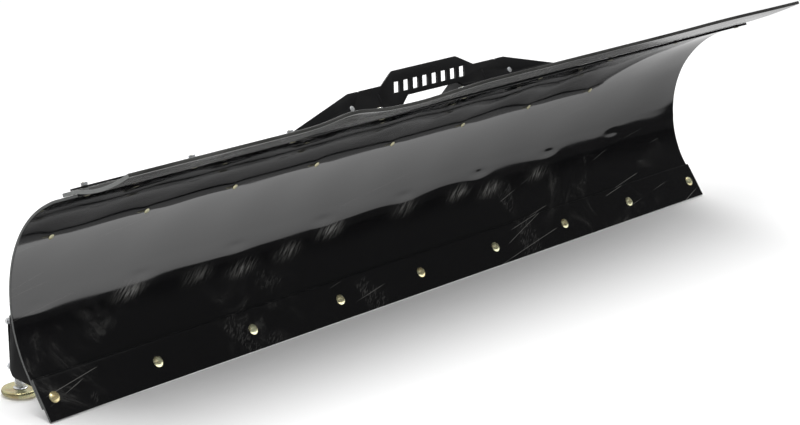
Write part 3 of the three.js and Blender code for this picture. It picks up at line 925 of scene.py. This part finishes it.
def carry_skin(name, sizes, dents):
    """The skin: its profile with a plate's thickness, carried along X and gently waved."""
    line, normals, turn = skin_profile()
    section, inward, tag = loop_around(line, PLATE, normals, sizes.edge)
    tag = tag * 0
    back = turn[1:-1][::-1]
    last, first = np.full(8, turn[-1]), np.full(8, turn[0])
    around = np.roll(np.concatenate([turn[1:-1], last, back, first]), 4)
    spokes = np.radians(around)
    out = np.stack([np.cos(spokes), np.sin(spokes)], axis=1)
    height = skin_waves(around, sizes, dents)
    low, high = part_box("mouldboard")

    def shift(xs):
        """The same, as offsets in Y and Z."""
        return height(xs)[..., None] * out[None]

    made = along_x(section, inward, tag, low.x, high.x, sizes.edge, step=0.0062, shift=shift)
    skin = piece(name, [made])
    rubs = rub_marks(made[0][:, 0], np.tile(around, len(made[0]) // len(around)))
    skin.data.attributes.new("rub", "FLOAT", "POINT").data.foreach_set("value", rubs)
    return skin


def rub_marks(x, turn):
    """How rubbed each point is: the largest of nine long ovals in a row just above the foot."""
    rng = np.random.default_rng(5)
    places = np.linspace(-0.72, 0.5, 9) + rng.uniform(-0.08, 0.08, 9)
    turns = rng.uniform(-19, -11, 9)
    across = np.radians(turn[:, None] - turns) * LOWER_RADIUS
    lean = (x[:, None] - places) - 0.8 * across
    spread = (lean / 0.026) ** 2 + (across / 0.011) ** 2
    return (np.exp(-spread) * rng.uniform(0.5, 1.0, 9)).max(axis=1).astype(np.float32)


# ---- operators ----


class BladePiece(bpy.types.Operator):
    """Shared settings of the operators."""

    bl_options = {"REGISTER", "UNDO"}

    def sizes(self):
        """The small shapes that can be changed."""
        return bpy.context.scene.blade_sizes


class BLADE_OT_skin(BladePiece):
    """Makes the curved skin, with the faint waves of rolled sheet and dents at its bolts"""

    bl_idname = "blade.skin"
    bl_label = "Skin"

    def execute(self, context):
        dents = []
        for i in range(1, 9):
            x = box_middle(f"skin_bolt_{i}")[0]
            dents.append((x, math.degrees(skin_bolt_turn), 13 * MM, 13 * MM, 0.25 * MM))
        for i in range(1, 10):
            x = box_middle(f"wear_bolt_{i}")[0]
            dents.append((x + 24 * MM, -4.0, 17 * MM, 5 * MM, -0.7 * MM))
        made = carry_skin("skin", self.sizes(), dents)
        finish_piece(made, finishes.get("skin"), "frame", "gloss_skin", "mouldboard")
        return {"FINISHED"}


class BLADE_OT_wear_bar(BladePiece):
    """Makes the wear bar along the foot"""

    bl_idname = "blade.wear_bar"
    bl_label = "Wear bar"

    def execute(self, context):
        low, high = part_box("wear_bar")
        ends = (low.x, high.x)
        args = (row, foot_up, foot_back, -BAR_HALF, BAR_HALF, 0, PLATE, ends, self.sizes().edge)
        made = piece("wear_bar_plate", [flat_bar(*args)])
        finish_piece(made, finishes.get("worn_bar"), "frame", "worn_paint", "wear_bar")
        return {"FINISHED"}


def flap_sections(xs, sizes):
    """The flap's middle line at each x: a flat grip, then a free part that curls up to its edge.

    Over the free part z = rise * (a v + (1 - a) v^2), where v goes from 0 to 1 with y. a grows from
    left to right, so the left end starts flatter. The rise is a slow step with a bump and a dip.
    """
    grip = np.linspace(-FLAP_GRIP, -0.7 * MM, 9)
    v = np.linspace(0, 1, 40)[None, :]
    side = smooth(xs, -0.9, 0.6)[:, None]
    straight = 0.3 + 0.55 * side
    ripple = np.exp(-(((xs + 0.433) / 0.06) ** 2)) - 0.15 * np.exp(-(((xs + 0.26) / 0.07) ** 2))
    ripple = ripple + 0.2 * np.exp(-(((xs - 0.66) / 0.15) ** 2))
    rise = FLAP_RISE + 6 * MM * smooth(xs, -0.28, -0.06) + sizes.flap_ripple * ripple
    held = flap_hinge - lip_up * (FLAP_THICK / 2) + grip[:, None] * lip_up
    line = np.empty((len(xs), len(grip) + v.size, 2))
    line[:, : len(grip)] = held[None]
    line[:, len(grip) :, 0] = flap_hinge[0] - FLAP_REACH * v
    line[:, len(grip) :, 1] = flap_hinge[1] + rise[:, None] * (straight * v + (1 - straight) * v**2)
    return line


def flap_rings(sizes):
    """Rings round the flap: its middle line pushed half a thickness each way, with round edges."""
    low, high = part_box("flap_free")
    edge = FLAP_EDGE
    turns = np.radians([0, 30, 60, 90])
    xs = np.concatenate(
        [
            low.x + edge * (1 - np.cos(turns)),
            np.linspace(low.x + 4 * edge, high.x - 4 * edge, FLAP_STEPS),
            (high.x - edge * (1 - np.cos(turns)))[::-1],
        ]
    )
    inset = np.concatenate([edge * (1 - np.sin(turns)), np.zeros(FLAP_STEPS)])
    inset = np.concatenate([inset, (edge * (1 - np.sin(turns)))[::-1]])
    line = flap_sections(xs, sizes)
    tangent = np.gradient(line, axis=1)
    tangent /= np.linalg.norm(tangent, axis=2, keepdims=True)
    up = np.stack([tangent[..., 1], -tangent[..., 0]], axis=-1)
    half = FLAP_THICK / 2
    thin = (half - inset)[:, None, None]
    under, over = line - up * thin, line + up * thin
    tip, root = tangent[:, -1:], -tangent[:, :1]
    corner = np.radians([15, 45, 75])[None, :, None]

    def rounded(end, ahead, side):
        """Three points round one corner of the sheet."""
        reach = (thin - edge) * side
        out = edge * (np.sin(corner) * ahead + np.cos(corner) * side)
        return end - ahead * edge + reach + out

    tip_up, root_up = up[:, -1:], up[:, :1]
    end, start = line[:, -1:], line[:, :1]
    parts = [
        rounded(start, root, -root_up)[:, ::-1],
        under[:, 1:-1],
        rounded(end, tip, -tip_up),
        rounded(end, tip, tip_up)[:, ::-1],
        over[:, 1:-1][:, ::-1],
        rounded(start, root, root_up),
    ]
    yz = np.concatenate(parts, axis=1)
    rings = np.empty((len(xs), yz.shape[1], 3))
    rings[..., 0] = xs[:, None]
    rings[..., 1:] = yz
    cut = np.concatenate([[1, 1, 0.6, 0.2], np.zeros(FLAP_STEPS), [0.2, 0.6, 1, 1]])
    tag = np.repeat(cut[:, None], yz.shape[1], axis=1)
    return shell(rings, tag=tag, sheet=True)


class BLADE_OT_flap(BladePiece):
    """Makes the rubber flap as one sheet that bends where it leaves the lip"""

    bl_idname = "blade.flap"
    bl_label = "Rubber flap"

    def execute(self, context):
        made = piece("rubber_flap", [flap_rings(self.sizes())], sharp=50)
        nodes = ("flap_grip", "flap_free")
        finish_piece(made, finishes.get("rubber"), None, "rubber", *nodes)
        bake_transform(made)
        return {"FINISHED"}


class BLADE_OT_clamp_strip(BladePiece):
    """Makes the steel strip that clamps the flap to the lip"""

    bl_idname = "blade.clamp_strip"
    bl_label = "Clamp strip"

    def execute(self, context):
        low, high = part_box("flap_clamp_bar")
        front = LIP_LENGTH - 0.7 * MM
        place = (lip_start, lip_up, lip_back, front - CLAMP_WIDTH, front)
        depth = (clamp_near, clamp_near + CLAMP_THICK)
        bar = flat_bar(*place, *depth, (low.x, high.x), self.sizes().edge)
        made = piece("clamp_strip", [bar])
        finish_piece(made, finishes.get("paint"), "frame", "frame_paint", "flap_clamp_bar")
        return {"FINISHED"}


class BLADE_OT_rails(BladePiece):
    """Makes the two flat rails behind the skin"""

    bl_idname = "blade.rails"
    bl_label = "Rails"

    def execute(self, context):
        edge = self.sizes().edge
        places = {
            "lower_rail": (skin_foot, foot_up, foot_back, -FOOT_BELOW, RAIL_WIDTH - FOOT_BELOW),
            "middle_rail": (
                upper_centre + UPPER_RADIUS * skin_bolt_back,
                skin_bolt_up,
                skin_bolt_back,
                -RAIL_WIDTH / 2,
                RAIL_WIDTH / 2,
            ),
        }
        for node, place in places.items():
            low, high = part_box(node)
            bar = flat_bar(*place, rail_near, rail_far, (low.x, high.x), edge)
            made = piece(node + "_bar", [bar])
            finish_piece(made, finishes.get("paint"), "frame", "frame_paint", node)
        return {"FINISHED"}


class BLADE_OT_plates(BladePiece):
    """Rounds the edges of the top plate and the six ribs"""

    bl_idname = "blade.plates"
    bl_label = "Top plate and ribs"

    def execute(self, context):
        nodes = ["top_plate"]
        nodes += [f"{kind}_rib_{side}" for kind in ("outer", "middle", "centre") for side in SIDES]
        for node in nodes:
            made = softened(node + "_cut", node, self.sizes().edge * 0.8)
            finish_piece(made, finishes.get("paint"), "frame", "frame_paint", node)
        return {"FINISHED"}


class BLADE_OT_pivot_sleeves(BladePiece):
    """Makes the two bushes that take the push frame's pins"""

    bl_idname = "blade.pivot_sleeves"
    bl_label = "Pivot bushes"

    def execute(self, context):
        for side in SIDES:
            node = f"pivot_bush_{side}"
            low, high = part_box(node)
            half = (high.x - low.x) / 2
            radius, bore, cut = (high.z - low.z) / 2, PIVOT_BORE, PIVOT_CHAMFER
            rings = [(bore, cut - half), (bore + cut, -half), (radius - cut, -half)]
            rings += [(radius, cut - half), (radius, half - cut), (radius - cut, half)]
            rings += [(bore + cut, half), (bore, half - cut)]
            bush = turned(rings, box_middle(node), (1, 0, 0), 48, wrap=True)
            made = piece(f"pivot_sleeve_{side}", [bush])
            finish_piece(made, finishes.get("paint"), "frame", "frame_paint", node)
        return {"FINISHED"}


def on_flat(origin, up, back, along, behind):
    """A place in Y and Z, along a flat and behind it."""
    return origin + along * up + behind * back


def weld_paths():
    """Every bead's path: ribs to rails, tubes to outer ribs, bushes to centre ribs."""
    paths = []
    inset = WELD_INSET
    rail_places = [
        (skin_foot, foot_up, foot_back, inset - FOOT_BELOW, RAIL_WIDTH - FOOT_BELOW - inset),
        (
            upper_centre + UPPER_RADIUS * skin_bolt_back,
            skin_bolt_up,
            skin_bolt_back,
            inset - RAIL_WIDTH / 2,
            RAIL_WIDTH / 2 - inset,
        ),
    ]
    for kind in ("outer", "middle", "centre"):
        for side in SIDES:
            low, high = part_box(f"{kind}_rib_{side}")
            faces = [low.x, high.x]
            if kind == "outer":
                faces = [high.x] if side == "left" else [low.x]
            for x in faces:
                for origin, up, back, start, stop in rail_places:
                    ends = [on_flat(origin, up, back, along, rail_far) for along in (start, stop)]
                    paths.append([(x, *end) for end in ends])
    for side in SIDES:
        middle = box_middle(f"skid_tube_{side}")
        low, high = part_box(f"skid_tube_{side}")
        rib_low, rib_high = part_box(f"outer_rib_{side}")
        face = rib_high.x if side == "left" else rib_low.x
        inwards = 1 if side == "left" else -1
        for away in (-1, 1):
            x, y = face + inwards * 2 * MM, middle[1] + away * 7.2 * MM
            paths.append([(x, y, low.z + 4 * MM), (x, y, high.z - 12 * MM)])
        middle = box_middle(f"pivot_bush_{side}")
        low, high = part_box(f"pivot_bush_{side}")
        radius = (high.z - low.z) / 2
        ear_low, ear_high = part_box(f"centre_rib_{side}")
        round_turn = np.linspace(0, 2 * np.pi, 60)
        for x in (ear_low.x, ear_high.x):
            y = middle[1] + (radius + 0.6 * MM) * np.cos(round_turn)
            z = middle[2] + (radius + 0.6 * MM) * np.sin(round_turn)
            paths.append(np.stack([np.full(60, x), y, z], axis=1))
    return paths


class BLADE_OT_welds(BladePiece):
    """Lays the weld beads of the frame"""

    bl_idname = "blade.welds"
    bl_label = "Weld beads"

    def execute(self, context):
        shells = [bead(path, self.sizes().bead) for path in weld_paths()]
        made = piece("frame_weld_beads", shells, sharp=80)
        finish_piece(made, finishes.get("paint"), "frame", "frame_paint")
        return {"FINISHED"}


class BLADE_OT_skid_tubes(BladePiece):
    """Rounds the edges of the upright tubes, which are drilled for their set screws"""

    bl_idname = "blade.skid_tubes"
    bl_label = "Skid tubes"

    def execute(self, context):
        for side in SIDES:
            node = f"skid_tube_{side}"
            made = softened(node + "_made", node, TUBE_EDGE)
            finish_piece(made, finishes.get("paint"), "frame", "frame_paint", node)
        return {"FINISHED"}


class BLADE_OT_skids(BladePiece):
    """Makes each skid's round post, its weld and its disc"""

    bl_idname = "blade.skids"
    bl_label = "Skid shoes"

    def execute(self, context):
        for side in SIDES:
            self.post(side)
            self.disc(side)
        return {"FINISHED"}

    def post(self, side):
        """A round bar with a chamfered top, on a rippled weld fillet."""
        node = f"skid_post_{side}"
        low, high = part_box(node)
        x, y = box_middle(node)[:2]
        radius, fillet, rise, cut = POST_RADIUS, POST_FILLET, POST_FILLET_RISE, POST_CHAMFER
        theta = np.arange(72) * 2 * np.pi / 72
        ripple = 1 + 0.012 * np.abs(np.sin(theta * 9))
        rings = [(fillet * 0.985, low.z)]
        for share in (0.12, 0.3, 0.5, 0.7, 0.88, 1.0):
            out = radius + (fillet * 0.985 - radius) * (1 - share) ** 1.6
            swell = 1 + (ripple - 1) * math.sin(math.pi * share)
            rings.append((out * swell, low.z + rise * share))
        rings += [(radius, low.z + 2 * rise), (radius, high.z - cut)]
        rings += [(radius - cut, high.z), (radius * 0.3, high.z)]
        made = piece(f"skid_post_{side}_made", [turned(rings, (x, y, 0), (0, 0, 1), 72)])
        finish_piece(made, finishes.get("silver_zinc"), f"skid_{side}", "silver_zinc", node)

    def disc(self, side):
        """A flat-bottomed disc with an elliptical edge and a faint dish in its top."""
        node = f"skid_disc_{side}"
        low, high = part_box(node)
        x, y = box_middle(node)[:2]
        radius = (high.x - low.x) / 2
        flat, widest = radius - DISC_EDGE, DISC_WIDEST
        rings = [(flat * share, low.z) for share in (0.05, 0.5, 0.9, 1.0)]
        for turn in np.radians(np.linspace(10, 90, 9)):
            out = flat + (radius - flat) * math.sin(turn)
            rings.append((out, low.z + widest * (1 - math.cos(turn))))
        rim = high.z - low.z - widest
        for turn in np.radians(np.linspace(15, 90, 6)):
            out = radius - 3.6 * MM * (1 - math.cos(turn))
            rings.append((out, low.z + widest + rim * math.sin(turn)))
        dish = DISC_DISH
        for share in (0.84, 0.78, 0.7, 0.55, 0.35, 0.1):
            rings.append((radius * share, high.z - dish * (1 - ((share - 0.1) / 0.78) ** 2)))
        made = piece(f"skid_disc_{side}_made", [turned(rings, (x, y, 0), (0, 0, 1), 96)])
        finish_piece(made, finishes.get("disc_zinc"), f"skid_{side}", "yellow_zinc", node)


class BLADE_OT_set_screws(BladePiece):
    """Makes the hexagon-headed screws that lock the skid posts"""

    bl_idname = "blade.set_screws"
    bl_label = "Set screws"

    def execute(self, context):
        flats, shank, head = SCREW_FLATS, SCREW_SHANK, SCREW_HEAD
        for side in SIDES:
            for level in ("lower", "upper"):
                node = f"set_screw_{side}_{level}"
                low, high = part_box(node)
                x, _, z = box_middle(node)
                reach = high.y - low.y
                rings = [(shank * 0.7, 0), (shank, 0.6 * MM), (shank, reach - head)]
                rings += hex_side(flats, NUT_SIDES, reach - head, reach, both=False)
                rings += [(flats * 0.36, reach), (flats * 0.34, reach - 0.25 * MM)]
                rings += [(flats * 0.05, reach - 0.25 * MM)]
                screw = turned(rings, (x, low.y, z), (0, 1, 0), NUT_SIDES)
                made = piece(node + "_made", [screw])
                body = f"screw_{side}_{level}"
                finish_piece(made, finishes.get("silver_zinc"), body, "silver_zinc", node)
        return {"FINISHED"}


def make_bolts(nodes, size, place, back, grip, finish, slot):
    """One bolt for each node, at the node's own x, and one more piece with the row's nuts."""
    nuts = []
    for node in nodes:
        on = grip(node) if callable(grip) else grip
        where = (size, box_middle(node)[0], place, back, on)
        made = piece(node + "_made", [bolt_shell(*where)])
        finish_piece(made, finishes.get(finish), "frame", slot, node)
        nuts.append(nut_shell(*where))
    made = piece(nodes[0].rsplit("_", 1)[0] + "_nuts", nuts, sharp=25)
    finish_piece(made, finishes.get("silver_zinc"), "frame", slot)


class BLADE_OT_wear_bolts(BladePiece):
    """Makes the bolts of the wear bar"""

    bl_idname = "blade.wear_bolts"
    bl_label = "Wear bolts"

    def execute(self, context):
        rail_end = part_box("lower_rail")[1].x

        def grip(node):
            """How much the bolt holds: more where it goes through the rail."""
            on_rail = abs(box_middle(node)[0]) < rail_end
            return PLATE + GAP + (rail_far if on_rail else PLATE)

        nodes = [f"wear_bolt_{i}" for i in range(1, 10)]
        make_bolts(nodes, WEAR_BOLT, row, foot_back, grip, "yellow_zinc", "yellow_zinc")
        return {"FINISHED"}


class BLADE_OT_flap_bolts(BladePiece):
    """Makes the bolts of the flap's clamp"""

    bl_idname = "blade.flap_bolts"
    bl_label = "Flap bolts"

    def execute(self, context):
        place = lip_start + lip_up * (LIP_LENGTH - LIP_BOLT_INSET)
        nodes = [f"flap_bolt_{i}" for i in range(1, 10)]
        grip = clamp_near + CLAMP_THICK
        # The heads take the darker copy of the zinc, which paints shade on them.
        make_bolts(nodes, FLAT_BOLT, place, lip_back, grip, "painted_shade_zinc", "yellow_zinc")
        return {"FINISHED"}


class BLADE_OT_skin_bolts(BladePiece):
    """Makes the bolts from the skin to the middle rail, and of the top plate"""

    bl_idname = "blade.skin_bolts"
    bl_label = "Skin and top plate bolts"

    def execute(self, context):
        place = upper_centre + UPPER_RADIUS * skin_bolt_back
        nodes = [f"skin_bolt_{i}" for i in range(1, 9)]
        # The heads take the darker copy of the zinc, which paints shade on them.
        make_bolts(
            nodes, FLAT_BOLT, place, skin_bolt_back, rail_far, "painted_shade_zinc", "yellow_zinc"
        )
        place = top_origin + top_up * TOP_BOLT_RISE
        nodes = [f"top_plate_bolt_{side}" for side in SIDES]
        make_bolts(nodes, FLAT_BOLT, place, top_back, PLATE, "silver_zinc", "silver_zinc")
        return {"FINISHED"}


class BLADE_OT_stage(BladePiece):
    """Makes the camera, the floor, the lamps and the even light"""

    bl_idname = "blade.stage"
    bl_label = "Stage"

    def execute(self, context):
        stage = context.scene.blade_stage
        context.scene.view_settings.view_transform = "Standard"
        self.camera(context)
        self.floor(context, stage)
        self.sky(context, stage)
        self.lamps(context, stage)
        return {"FINISHED"}

    def camera(self, context):
        """The camera, which looks along the blade from its front left."""
        data = bpy.data.cameras.new("camera")
        data.lens = LENS
        data.clip_end = 100
        camera = bpy.data.objects.new("camera", data)
        camera.location = CAMERA_PLACE
        direction = Vector(CAMERA_AIM)
        camera.rotation_euler = direction.to_track_quat("-Z", "Y").to_euler()
        context.scene.collection.objects.link(camera)
        context.scene.camera = camera

    def floor(self, context, stage):
        """A pale floor. Gloss sees it bright from near the blade's front to a little way behind."""
        reach = FLOOR_REACH
        corners = [(-reach, -reach, 0), (reach, -reach, 0), (reach, reach, 0), (-reach, reach, 0)]
        mesh = bpy.data.meshes.new("floor")
        mesh.from_pydata(corners, [], [(0, 1, 2, 3)])
        floor = bpy.data.objects.new("floor", mesh)
        context.scene.collection.objects.link(floor)
        material = bpy.data.materials.new("Pale floor")
        material.use_nodes = True
        material.node_tree.nodes.clear()
        t = Tree(material.node_tree)
        coords = t.add("TexCoord").outputs["Object"]
        split = t.add("SeparateXYZ", {0: coords}).outputs
        matte = t.add("BsdfDiffuse", {"Color": (*stage.floor, 1)}).outputs[0]
        along = t.math("MAXIMUM", t.math("SUBTRACT", split["X"], 0.43), -0.72)
        squares = [t.math("MULTIPLY", v, v) for v in (along, split["Y"])]
        disc = t.span(t.math("SQRT", t.math("ADD", *squares)), 1.16, 1.04)
        behind = t.math("MULTIPLY", t.span(split["Y"], -0.12, 0.1), t.span(split["Y"], 2.4, 1.3))
        lit = t.math("MAXIMUM", disc, behind)
        lit = t.math("MULTIPLY", lit, t.span(split["X"], -0.94, -0.72, 0.06, 1.0))
        strength = t.span(split["X"], -0.4, 1.3, 2.25, 1.0, smooth=False)
        glow = t.math("MULTIPLY", lit, strength)
        glow = t.math("ADD", glow, 0.05)
        sheen = t.add("Emission", {"Strength": glow}).outputs[0]
        path = t.add("LightPath").outputs["Is Glossy Ray"]
        mixed = t.add("MixShader", {0: path, 1: matte, 2: sheen}).outputs[0]
        t.put(t.add("OutputMaterial").inputs["Surface"], mixed)
        material.cycles.emission_sampling = "NONE"
        mesh.materials.append(material)

    def sky(self, context, stage):
        """Even white light. Gloss sees a white wall behind, and dark in front, left and low down."""
        world = bpy.data.worlds.new("studio")
        context.scene.world = world
        world.use_nodes = True
        world.node_tree.nodes.clear()
        t = Tree(world.node_tree)
        split = t.add("SeparateXYZ", {0: t.add("TexCoord").outputs["Generated"]}).outputs
        wall = t.span(split["Y"], -0.1, 0.35, 0.085, 1.0)
        high = t.span(split["Z"], 0.55, 0.9)
        wall = t.math("MULTIPLY", wall, t.span(split["X"], -0.85, -0.45, 0.08, 1.0))
        wall = t.math("MULTIPLY", wall, t.span(split["Z"], 0.04, 0.3, 0.1, 1.0))
        seen = t.math("MAXIMUM", wall, t.math("MULTIPLY", high, 0.9))
        path = t.add("LightPath").outputs
        even = t.add("Background", {"Strength": stage.sky}).outputs[0]
        room = t.add("Background", {"Strength": seen}).outputs[0]
        mixed = t.add("MixShader", {0: path["Is Glossy Ray"], 1: even, 2: room}).outputs[0]
        plain = t.add("Background", {"Strength": 1.0}).outputs[0]
        mixed = t.add("MixShader", {0: path["Is Camera Ray"], 1: mixed, 2: plain}).outputs[0]
        t.put(t.add("OutputWorld").inputs["Surface"], mixed)

    def lamps(self, context, stage):
        """Two large round lamps overhead."""
        for name, place, size, power in (
            ("key lamp", (-0.9, -0.3, 2.6), 1.8, stage.key),
            ("far lamp", (1.4, 0.9, 2.4), 1.2, stage.key * 0.5),
        ):
            data = bpy.data.lights.new(name, "AREA")
            data.shape = "DISK"
            data.size = size
            data.energy = power
            lamp = bpy.data.objects.new(name, data)
            lamp.location = place
            aim = Vector((0, 0, 0.2)) - lamp.location
            lamp.rotation_euler = aim.to_track_quat("-Z", "Y").to_euler()
            context.scene.collection.objects.link(lamp)


class BLADE_PT_pieces(bpy.types.Panel):
    """Lists the blade's pieces"""

    bl_idname = "BLADE_PT_pieces"
    bl_label = "Plough blade"
    bl_space_type = "VIEW_3D"
    bl_region_type = "UI"
    bl_category = "Blade"

    def draw(self, context):
        for settings in ("blade_sizes", "blade_colours", "blade_stage"):
            group_of = getattr(context.scene, settings)
            for key in group_of.__annotations__:
                self.layout.prop(group_of, key)
        for operator in OPERATORS:
            self.layout.operator(operator.bl_idname)


OPERATORS = (
    BLADE_OT_stage,
    BLADE_OT_skin,
    BLADE_OT_wear_bar,
    BLADE_OT_flap,
    BLADE_OT_clamp_strip,
    BLADE_OT_rails,
    BLADE_OT_plates,
    BLADE_OT_pivot_sleeves,
    BLADE_OT_welds,
    BLADE_OT_skid_tubes,
    BLADE_OT_skids,
    BLADE_OT_set_screws,
    BLADE_OT_wear_bolts,
    BLADE_OT_flap_bolts,
    BLADE_OT_skin_bolts,
)
SETTINGS = {"blade_sizes": BladeSizes, "blade_colours": BladeColours, "blade_stage": BladeStage}


def register():
    for cls in (*SETTINGS.values(), *OPERATORS, BLADE_PT_pieces):
        bpy.utils.register_class(cls)
    for name, cls in SETTINGS.items():
        setattr(bpy.types.Scene, name, bpy.props.PointerProperty(type=cls))


def unregister():
    for name in SETTINGS:
        delattr(bpy.types.Scene, name)
    for cls in (BLADE_PT_pieces, *reversed(OPERATORS), *SETTINGS.values()):
        bpy.utils.unregister_class(cls)


def main():
    register()
    for operator in OPERATORS:
        getattr(bpy.ops.blade, operator.bl_idname.split(".")[1])()


if __name__ == "__main__":
    main()
